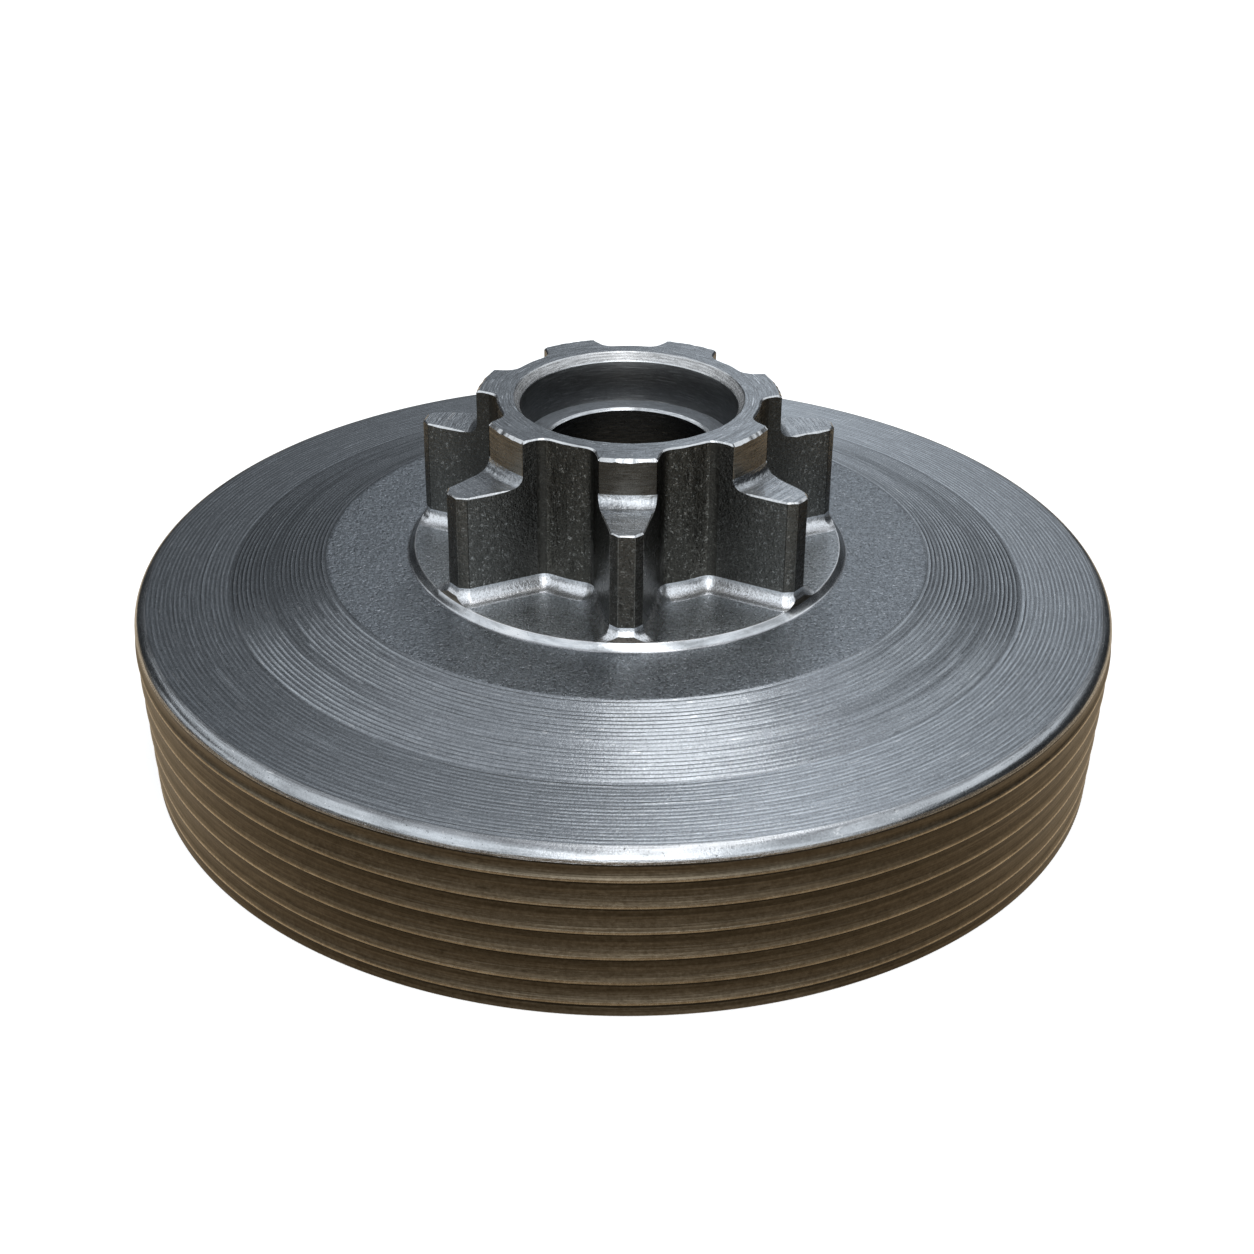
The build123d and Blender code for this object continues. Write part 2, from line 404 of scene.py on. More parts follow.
for r, z in ((CONE_OUT, WEB_CONE_Z), (28.2, WEB_CONE_Z + (WEB_Z - WEB_CONE_Z) / 3), (25.6, WEB_CONE_Z + (WEB_Z - WEB_CONE_Z) * 2 / 3), (WEB_CONE_IN, WEB_Z), (18.0, WEB_Z), (13.5, WEB_Z), (BOSS_R + 0.6, WEB_Z), (BOSS_R, BOSS_Z)):
    add(ring(r, z, HALF_UNI), "web")
add(ring(BORE_R + EXIT_CH, BOSS_Z, HALF_UNI), "edge_in")
add(ring(BORE_R, BOSS_Z + EXIT_CH, HALF_UNI), "bore")
for z in (15.5, 18.5, 21.5, COUNT_Z - BORE_CH - 0.3):
    add(ring(BORE_R, z, HALF_UNI), "bore")
add(ring(BORE_R, COUNT_Z - BORE_CH, HALF_UNI), "shelf_edge")
add(ring(BORE_R + BORE_CH, COUNT_Z, HALF_UNI), "shelf")
add(ring(COUNT_R - 0.30, COUNT_Z, HALF_UNI), "shelf")
add(ring(COUNT_R - 0.04, COUNT_Z - 0.05, HALF_UNI), "count")
add(ring(COUNT_R, COUNT_Z + 0.08, HALF_UNI), "count")
for z in (25.6, 26.8, MOUTH_Z - 0.06):
    add(ring(COUNT_R, z, HALF_UNI), "count")
add(ring(COUNT_R + 0.02, MOUTH_Z - 0.01, HALF_UNI), "burr")
add(ring(COUNT_R + 0.07, MOUTH_Z + 0.06, HALF_UNI), "mouth")
add(ring(MOUTH_R - 0.03, TOP_Z - 0.07 - 0.02 * chip, HALF_UNI), "burr")


for n, (p, name) in enumerate(zip(rows, finish)):
    if name == "forged" and 17.2 < math.hypot(*p[0, :2]) < 23.2:
        p[:, 2] += 0.010 * waves(p, 4.0, 3)
    if name == "island" and n != len(rows) - 1:
        inside = np.hypot(p[:, 0], p[:, 1]) < ISL_TOP_R - 0.2
        p[:, 2] += np.where(inside & (p[:, 2] < ISL_Z + 0.02), 0.010 * waves(p, 2.5, 5), 0)
    if name == "flank":
        w = 0.010 * waves(p * [1, 1, 0.6], 2.6, 11)
        p[:, :2] += NOR * w[:, None]
    if name in ("round", "lip"):
        d = 0.003 * waves(p, 9.0, 21) - 0.004
        p[:, :2] *= (1 + d / np.hypot(p[:, 0], p[:, 1]))[:, None]

# ---------------------------------------------------------------------------
# faces
# ---------------------------------------------------------------------------
FINISHES = ["top", "edge", "lug", "sweep", "ledge", "flank", "foot", "island", "cut", "cut_side", "wear", "seam", "tip", "facet", "lug_front",
            "flank_front", "nook", "root", "foot_dark", "foot_mid", "foot_soft", "rim_isl", "rim_foot", "forged", "cone", "outer", "round", "lip", "dark", "wall", "shade", "flare", "glint", "crest", "under", "rim", "burr", "edge_in", "friction", "web", "bore", "shelf_edge", "shelf",
            "count", "mouth"]
start = np.cumsum([0] + [len(p) for p in rows])
verts = np.concatenate(rows) * MM
faces, kinds = [], []
fil_r = [fillet_row(k)[0] for k in range(7)]
for n in range(len(rows)):
    m = (n + 1) % len(rows)
    a, b = start[n], start[m]
    la, lb = len(rows[n]), len(rows[m])
    kind = FINISHES.index(finish[n])
    if la == lb:
        for i in range(la):
            j = (i + 1) % la
            quad = (a + i, b + i, b + j, a + j)
            if finish[n] == "sweep" and la == N:
                # the turned fillet crosses the flank along a diagonal: split there
                h = (HALF[i] + HALF[j]) // 2
                rising = HALF[j] > HALF[i]
                if 11 <= min(HALF[i], HALF[j]) <= 16:
                    if rising:
                        faces += [(a + i, b + i, a + j), (b + i, b + j, a + j)]
                    else:
                        faces += [(a + i, b + i, b + j), (a + i, b + j, a + j)]
                    kinds += [kind, kind]
                    continue
            faces.append(quad)
            lo_h = min(HALF[i], HALF[j]) if la == N else 99
            front = i < PER
            # each strip takes a tone copy of the steel by place: the tooth tips, and on the front tooth the corner
            # facets, flanks, lug face and foot, take darker copies, painted shade; the tip corner of every tooth and
            # the front tooth's flank corner take a lighter copy, wear with a painted highlight; that flank corner on
            # the other teeth takes a near-black copy, painted shade; the nook and root by the valley floor take darker
            # copies, painted shade
            if finish[n] == "flank" and lo_h == 3:
                kinds.append(FINISHES.index("wear"))
            elif finish[n] == "flank" and lo_h < 3:
                kinds.append(FINISHES.index("tip"))
            elif finish[n] == "flank" and lo_h in (4, 5):
                kinds.append(FINISHES.index("tip" if front else "facet"))
            elif finish[n] == "flank" and lo_h in (6, 7):
                kinds.append(FINISHES.index("wear" if front else "seam"))
            elif finish[n] == "flank" and lo_h >= 20 and la == N:
                kinds.append(FINISHES.index("nook" if lo_h < 23 else "root"))
            elif finish[n] == "flank" and front:
                kinds.append(FINISHES.index("flank_front"))
            elif finish[n] == "foot" and front and 7 <= lo_h < 24:
                kinds.append(FINISHES.index("foot_dark" if lo_h < 17 else "foot_mid" if lo_h < 21 else "foot_soft"))
            elif finish[n] == "lug" and i < PER:
                kinds.append(FINISHES.index("lug_front"))
            else:
                kinds.append(kind)
    elif la == 2 * lb:
        for q in range(lb):
            q1 = (q + 1) % lb
            i0, i1, i2 = a + 2 * q, a + 2 * q + 1, a + (2 * q + 2) % la
            faces += [(i0, b + q, i1), (i1, b + q, b + q1), (i1, b + q1, i2)]
            kinds += [kind] * 3
    else:
        for q in range(la):
            q1 = (q + 1) % la
            j0, j1, j2 = b + 2 * q, b + 2 * q + 1, b + (2 * q + 2) % lb
            faces += [(a + q, j0, j1), (a + q, j1, a + q1), (a + q1, j1, j2)]
            kinds += [kind] * 3

mesh = bpy.data.meshes.new("clutch_drum")
mesh.from_pydata([tuple(v) for v in verts], [], [tuple(int(x) for x in f) for f in faces])
mesh.update()
drum = bpy.data.objects.new("clutch_drum", mesh)
bpy.context.scene.collection.objects.link(drum)
layer = mesh.attributes.new("kind", "INT", "FACE")
layer.data.foreach_set("value", kinds)

bm = bmesh.new()
bm.from_mesh(mesh)
bmesh.ops.remove_doubles(bm, verts=bm.verts, dist=2e-7)
bmesh.ops.dissolve_degenerate(bm, edges=bm.edges, dist=1e-7)
bmesh.ops.recalc_face_normals(bm, faces=bm.faces)
lay = bm.faces.layers.int["kind"]
lug_face = []
for f in bm.faces:
    f.smooth = True
    f.material_index = 0
    name = FINISHES[f[lay]]
    c = f.calc_center_median()
    r = math.hypot(c.x, c.y) / MM
    if name == "island" and f.normal.z < 0.62 and r > CUT_R - 0.15:
        # painted shade: the front tooth's cut takes a darker copy than the cuts of the other teeth
        f[lay] = FINISHES.index("cut" if abs(c.x) < 0.005 and c.y < 0 else "cut_side")
    if name in ("lug", "lug_front", "sweep"):
        # parts of these strips that lie on the flanks are forged
        out = Vector((c.x, c.y, 0)).normalized()
        facing = f.normal.dot(out)
        # parts of these strips by the valley floor take the root and nook copies, and those on the front tooth the
        # front flank copy: darker copies, painted shade
        near = abs(c.x) < 0.0046 and c.y < 0
        side = "root" if r < 10.12 else "nook" if r < 10.70 else "flank_front" if near else "flank"
        if r < LUG_R - 0.30 or facing < 0.55 and name != "sweep":
            f[lay] = FINISHES.index(side)
        elif name == "sweep" and (f.normal.z < 0.02 and facing < 0.9):
            f[lay] = FINISHES.index(side)
sharp = math.radians(24)
for e in bm.edges:
    if len(e.link_faces) == 2:
        e.smooth = e.calc_face_angle(0) < sharp
print("closed", all(len(e.link_faces) == 2 for e in bm.edges), "triangles", sum(len(f.verts) - 2 for f in bm.faces))
bm.to_mesh(mesh)
bm.free()
mesh.update()


# ---------------------------------------------------------------------------
# materials
# ---------------------------------------------------------------------------
class Nodes:
    """Small helper round a material's node tree."""

    def __init__(self, name):
        self.mat = bpy.data.materials.new(name)
        self.mat.use_nodes = True
        self.tree = self.mat.node_tree
        self.tree.nodes.clear()
        self.out = self.tree.nodes.new("ShaderNodeOutputMaterial")
        self.bsdf = self.tree.nodes.new("ShaderNodeBsdfPrincipled")
        self.tree.links.new(self.bsdf.outputs[0], self.out.inputs[0])
        tc = self.tree.nodes.new("ShaderNodeTexCoord")
        scale = self.tree.nodes.new("ShaderNodeVectorMath")
        scale.operation = "SCALE"
        self.link(tc.outputs["Object"], scale.inputs[0])
        scale.inputs["Scale"].default_value = 1000.0
        self.pos = scale.outputs[0]
        sep = self.tree.nodes.new("ShaderNodeSeparateXYZ")
        self.link(self.pos, sep.inputs[0])
        self.x, self.y, self.z = sep.outputs
        self.r = self.math("SQRT", self.math("ADD", self.math("MULTIPLY", self.x, self.x), self.math("MULTIPLY", self.y, self.y)))
        self.ux = self.math("DIVIDE", self.x, self.math("MAXIMUM", self.r, 0.01))
        self.uy = self.math("DIVIDE", self.y, self.math("MAXIMUM", self.r, 0.01))

    def link(self, a, b):
        self.tree.links.new(a, b)

    def math(self, op, *args, clamp=False):
        n = self.tree.nodes.new("ShaderNodeMath")
        n.operation = op
        n.use_clamp = clamp
        for i, a in enumerate(args):
            if isinstance(a, (int, float)):
                n.inputs[i].default_value = a
            else:
                self.link(a, n.inputs[i])
        return n.outputs[0]

    def ring_coords(self, around, radial, height):
        """Coordinates that vary slowly round the axis and fast across it."""
        n = self.tree.nodes.new("ShaderNodeCombineXYZ")
        self.link(self.math("MULTIPLY", self.ux, around), n.inputs[0])
        self.link(self.math("MULTIPLY", self.uy, around), n.inputs[1])
        self.link(self.math("ADD", self.math("MULTIPLY", self.r, radial), self.math("MULTIPLY", self.z, height)), n.inputs[2])
        return n.outputs[0]

    def noise(self, vec, scale, detail=3.0, rough=0.55, distortion=0.0):
        n = self.tree.nodes.new("ShaderNodeTexNoise")
        self.link(vec, n.inputs["Vector"])
        n.inputs["Scale"].default_value = scale
        n.inputs["Detail"].default_value = detail
        n.inputs["Roughness"].default_value = rough
        n.inputs["Distortion"].default_value = distortion
        return n.outputs[0]

    def cells(self, vec, scale, randomness=1.0):
        n = self.tree.nodes.new("ShaderNodeTexVoronoi")
        self.link(vec, n.inputs["Vector"])
        n.inputs["Scale"].default_value = scale
        n.inputs["Randomness"].default_value = randomness
        return n.outputs["Distance"], n.outputs["Color"]

    def ramp(self, fac, stops):
        n = self.tree.nodes.new("ShaderNodeValToRGB")
        self.link(fac, n.inputs[0])
        el = n.color_ramp.elements
        while len(el) > len(stops):
            el.remove(el[-1])
        while len(el) < len(stops):
            el.new(1.0)
        for e, (p, c) in zip(el, stops):
            e.position = p
            e.color = (c, c, c, 1) if isinstance(c, (int, float)) else (*c, 1)
        return n.outputs[0]

    def step(self, fac, lo, hi, a=0.0, b=1.0):
        n = self.tree.nodes.new("ShaderNodeMapRange")
        n.interpolation_type = "SMOOTHSTEP"
        self.link(fac, n.inputs[0])
        for i, v in enumerate((lo, hi, a, b)):
            n.inputs[1 + i].default_value = v
        return n.outputs[0]

    def mix(self, fac, a, b, how="MIX"):
        n = self.tree.nodes.new("ShaderNodeMix")
        n.data_type = "RGBA"
        n.blend_type = how
        if isinstance(fac, (int, float)):
            n.inputs[0].default_value = fac
        else:
            self.link(fac, n.inputs[0])
        for i, v in ((6, a), (7, b)):
            if isinstance(v, tuple):
                n.inputs[i].default_value = (*v, 1)
            else:
                self.link(v, n.inputs[i])
        return n.outputs[2]

    def bump(self, height, distance, strength=1.0, normal=None):
        n = self.tree.nodes.new("ShaderNodeBump")
        self.link(height, n.inputs["Height"])
        n.inputs["Distance"].default_value = distance
        n.inputs["Strength"].default_value = strength
        if normal is not None:
            self.link(normal, n.inputs["Normal"])
        return n.outputs[0]

    def shader(self, color, rough, normal=None, metallic=1.0, spec=0.5, aniso=0.0):
        b = self.bsdf
        b.inputs["Metallic"].default_value = metallic
        b.inputs["Specular IOR Level"].default_value = spec
        for name, v in (("Base Color", color), ("Roughness", rough)):
            if isinstance(v, tuple):
                b.inputs[name].default_value = (*v, 1)
            elif isinstance(v, (int, float)):
                b.inputs[name].default_value = v
            else:
                self.link(v, b.inputs[name])
        if aniso:
            b.inputs["Anisotropic"].default_value = aniso
            b.inputs["Anisotropic Rotation"].default_value = 0.25
            t = self.tree.nodes.new("ShaderNodeTangent")
            t.direction_type = "RADIAL"
            t.axis = "Z"
            self.link(t.outputs[0], b.inputs["Tangent"])
        if normal is not None:
            self.link(normal, b.inputs["Normal"])
        return self.mat


def shade(c, k):
    return tuple(min(1.0, v * k) for v in c)


def turned(name, base, dark, rough=0.30, depth=0.00005, nick=0.5, aniso=0.4, rings=None, tool=None, grainy=1.0,
           arcs=0.0, spots=0.0, metallic=1.0):
    """Steel left by a lathe tool: fine rings, broken here and there."""
    m = Nodes(name)
    fine = m.noise(m.ring_coords(7.0, 7.0, 7.0), 1.0, 3.0, 0.6)
    broad = m.noise(m.ring_coords(9.0, 2.8, 2.8), 1.0, 2.0, 0.5)
    grain = m.noise(m.pos, 6.8, 2.0, 0.60)
    blot = m.noise(m.pos, 0.55, 2.0, 0.6)
    tone = m.math("ADD", m.math("MULTIPLY", fine, 0.85 - 0.50 * grainy), m.math("MULTIPLY", grain, 0.50 * grainy))
    tone = m.math("ADD", tone, m.math("MULTIPLY", broad, 0.15))
    half = tuple(0.45 * a + 0.55 * b for a, b in zip(dark, base))
    col = m.ramp(tone, [(0.38, dark), (0.46, half), (0.54, base), (0.64, shade(base, 1.25))])
    if rings:
        # dark lines and, between them, bright bands of painted highlight, at the pitch of the turning
        start_r, step_r, lo, hi, strength = rings
        wob = m.math("MULTIPLY", m.math("SUBTRACT", m.noise(m.pos, 0.35, 2.0), 0.5), 0.05)
        ph = m.math("FRACT", m.math("DIVIDE", m.math("ADD", m.math("SUBTRACT", m.r, start_r), wob), step_r))
        tri = m.math("ABSOLUTE", m.math("SUBTRACT", ph, 0.5))
        line = m.step(tri, lo, hi)
        broken = m.step(m.noise(m.ring_coords(16.0, 2.9, 2.9), 1.0, 3.0, 0.6), 0.38, 0.58, 0.10, 1.0)
        line = m.math("MULTIPLY", m.math("MULTIPLY", line, broken), strength)
        col = m.mix(line, col, shade(dark, 0.6))
        painted_ring_highlight = m.math("MULTIPLY", m.math("MULTIPLY", m.step(tri, 0.05, 0.20, 1.0, 0.0), broken), strength)
        col = m.mix(painted_ring_highlight, col, shade(base, 1.6))
    pit = m.math("MULTIPLY", m.step(m.noise(m.pos, 3.4, 3.0, 0.7), 0.64, 0.70), nick)
    col = m.mix(pit, col, shade(dark, 0.4))
    if spots:
        # small bright nicks, most of them lying along the turning
        dash = m.noise(m.ring_coords(22.0, 8.0, 8.0), 1.0, 1.0, 0.5, 0.6)
        dash = m.math("MULTIPLY", m.step(dash, 0.67, 0.72), m.step(m.noise(m.pos, 0.8, 2.0), 0.42, 0.58, 0.25, 1.0))
        speck = m.noise(m.pos, 4.6, 1.0, 0.5)
        dash = m.math("MAXIMUM", dash, m.step(speck, 0.72, 0.76))
        col = m.mix(m.math("MULTIPLY", m.step(speck, 0.24, 0.28, 1.0, 0.0), spots), col, shade(dark, 0.5))
        col = m.mix(m.math("MULTIPLY", dash, spots), col, shade(base, 2.2))
    col = m.mix(m.step(blot, 0.35, 0.65, 0.0, 0.22), col, shade(base, 0.78))
    ro = m.math("ADD", m.math("MULTIPLY", grain, 0.20), rough - 0.10)
    h = m.math("ADD", m.math("MULTIPLY", fine, 0.9), m.math("MULTIPLY", grain, 0.45 * grainy))
    if tool:
        # marks left across the sweep by the tool's last passes
        way, scale, amount = tool
        v = m.tree.nodes.new("ShaderNodeVectorMath")
        v.operation = "MULTIPLY"
        m.link(m.pos, v.inputs[0])
        v.inputs[1].default_value = way
        marks = m.noise(v.outputs[0], scale, 3.0, 0.6)
        h = m.math("ADD", h, m.math("MULTIPLY", marks, amount))
        col = m.mix(m.step(marks, 0.58, 0.66, 0.0, 0.35), col, shade(base, 1.7))
    if arcs:
        # scratches that follow the turning for a few millimetres
        light = m.step(m.noise(m.ring_coords(2.6, 5.5, 5.5), 1.0, 1.0, 0.5, 0.15), 0.67, 0.71)
        some = m.step(m.noise(m.pos, 0.9, 2.0), 0.44, 0.56)
        light = m.math("MULTIPLY", m.math("MULTIPLY", light, some), arcs)
        gloom = m.step(m.noise(m.ring_coords(3.4, 4.2, 4.2), 1.0, 2.0, 0.5), 0.62, 0.70, 0.0, 0.5 * arcs)
        col = m.mix(gloom, col, shade(dark, 0.7))
        col = m.mix(light, col, tuple(min(1.0, 0.25 + 1.5 * v) for v in base))
    return m.shader(col, ro, m.bump(h, depth), aniso=aniso, metallic=metallic)


def forged(name, base, dark, light, pits=0.8, rough=0.45, depth=0.00008, fleck=0.8, coarse=1.0, streaks=0.0, root_painted_shade=None, even=0.0, low=None):
    """As-forged skin: granular, with small pits and rubbed bright specks."""
    m = Nodes(name)
    g1 = m.noise(m.pos, 2.6 * coarse, 4.0, 0.60)
    g2 = m.noise(m.pos, 6.0 * coarse, 2.0, 0.55)
    blot = m.noise(m.pos, 0.45, 2.0, 0.6)
    tone = m.math("ADD", m.math("MULTIPLY", g1, 0.20), m.math("MULTIPLY", g2, 0.80))
    half = tuple(0.5 * a + 0.5 * b for a, b in zip(dark, base))
    col = m.ramp(tone, [(0.38, dark), (0.45, half), (0.51, base), (0.58, shade(base, 1 + 0.22 * (1 - even))),
                        (0.66, shade(base, 1 + 0.6 * (1 - even)))])
    col = m.mix(m.step(blot, 0.35, 0.65, 0.0, 0.22), col, shade(base, 0.78))
    # small dents: dark floor, bright lip on one side from the bump
    dent = m.noise(m.pos, 3.4 * coarse, 2.0, 0.7, 0.4)
    pit = m.math("MULTIPLY", m.step(dent, 0.27, 0.33, 1.0, 0.0), pits)
    col = m.mix(pit, col, shade(dark, 0.35))
    # short curled scratches, bright where they were rubbed
    curl = m.noise(m.pos, 2.3 * coarse, 1.0, 0.5, 0.9)
    near = m.math("ABSOLUTE", m.math("SUBTRACT", curl, 0.5))
    where = m.step(m.noise(m.pos, 2.0 * coarse, 1.0, 0.5), 0.56, 0.60)
    fl = m.math("MULTIPLY", m.step(near, 0.012, 0.030, 1.0, 0.0), where)
    dot = m.step(m.noise(m.pos, 4.4 * coarse, 1.0, 0.5), 0.69, 0.73)
    fl = m.math("MULTIPLY", m.math("MAXIMUM", fl, dot), fleck)
    col = m.mix(fl, col, light)
    if low:
        # runs out into the flat below
        flat, top_z = low
        col = m.mix(m.step(m.z, ISL_Z + 0.05, top_z, 1.0, 0.0), col, flat)
    if root_painted_shade:
        # painted shade: darker towards the root, between the teeth
        near_r, far_r, low = root_painted_shade
        col = m.mix(m.step(m.r, near_r, far_r, low, 0.0), col, shade(dark, 0.55))
    ro = m.math("ADD", m.math("MULTIPLY", g1, 0.24), rough - 0.12)
    ro = m.math("SUBTRACT", ro, m.math("MULTIPLY", fl, 0.10))
    h = m.math("ADD", m.math("MULTIPLY", g1, 0.7), m.math("MULTIPLY", g2, 0.40))
    h = m.math("SUBTRACT", h, m.math("MULTIPLY", pit, 0.35))
    if streaks:
        # upright wrinkles from the die
        v = m.tree.nodes.new("ShaderNodeVectorMath")
        v.operation = "MULTIPLY"
        m.link(m.pos, v.inputs[0])
        v.inputs[1].default_value = (2.6, 2.6, 0.55)
        wr = m.noise(v.outputs[0], 1.0, 3.0, 0.6, 0.3)
        dent = m.step(wr, 0.34, 0.40, 1.0, 0.0)
        col = m.mix(m.math("MULTIPLY", dent, streaks), col, shade(dark, 0.5))
        h = m.math("ADD", h, m.math("MULTIPLY", wr, 1.2 * streaks))
    return m.shader(col, ro, m.bump(h, depth))


def wall_skin(name, base, dark, light, rough=0.36, depth=0.00004):
    """Brown over horizontal turning lines: partly the steel's own dark tone, partly a painted reflection of the brown
    bench below.
    """
    m = Nodes(name)
    lines = m.noise(m.ring_coords(2.5, 0.0, 6.5), 1.0, 4.0, 0.6)
    lines2 = m.noise(m.ring_coords(26.0, 0.0, 3.2), 1.0, 3.0, 0.6)
    grain = m.noise(m.pos, 3.5, 4.0, 0.65)
    blot = m.noise(m.pos, 0.22, 2.0, 0.6)
    tone = m.math("ADD", m.math("MULTIPLY", lines, 0.40), m.math("ADD", m.math("MULTIPLY", lines2, 0.25), m.math("MULTIPLY", grain, 0.35)))
    col = m.ramp(tone, [(0.36, dark), (0.50, base), (0.64, light)])
    col = m.mix(m.step(blot, 0.38, 0.64, 0.0, 0.22), col, shade(base, 0.74))
    spot = m.step(m.noise(m.ring_coords(24.0, 0.0, 3.4), 1.0, 4.0, 0.65), 0.62, 0.70, 0.0, 0.6)
    col = m.mix(spot, col, shade(dark, 0.6))
    ro = m.math("ADD", m.math("MULTIPLY", grain, 0.25), rough - 0.12)
    h = m.math("ADD", m.math("MULTIPLY", lines, 0.8), m.math("MULTIPLY", grain, 0.35))
    return m.shader(col, ro, m.bump(h, depth), aniso=0.3)


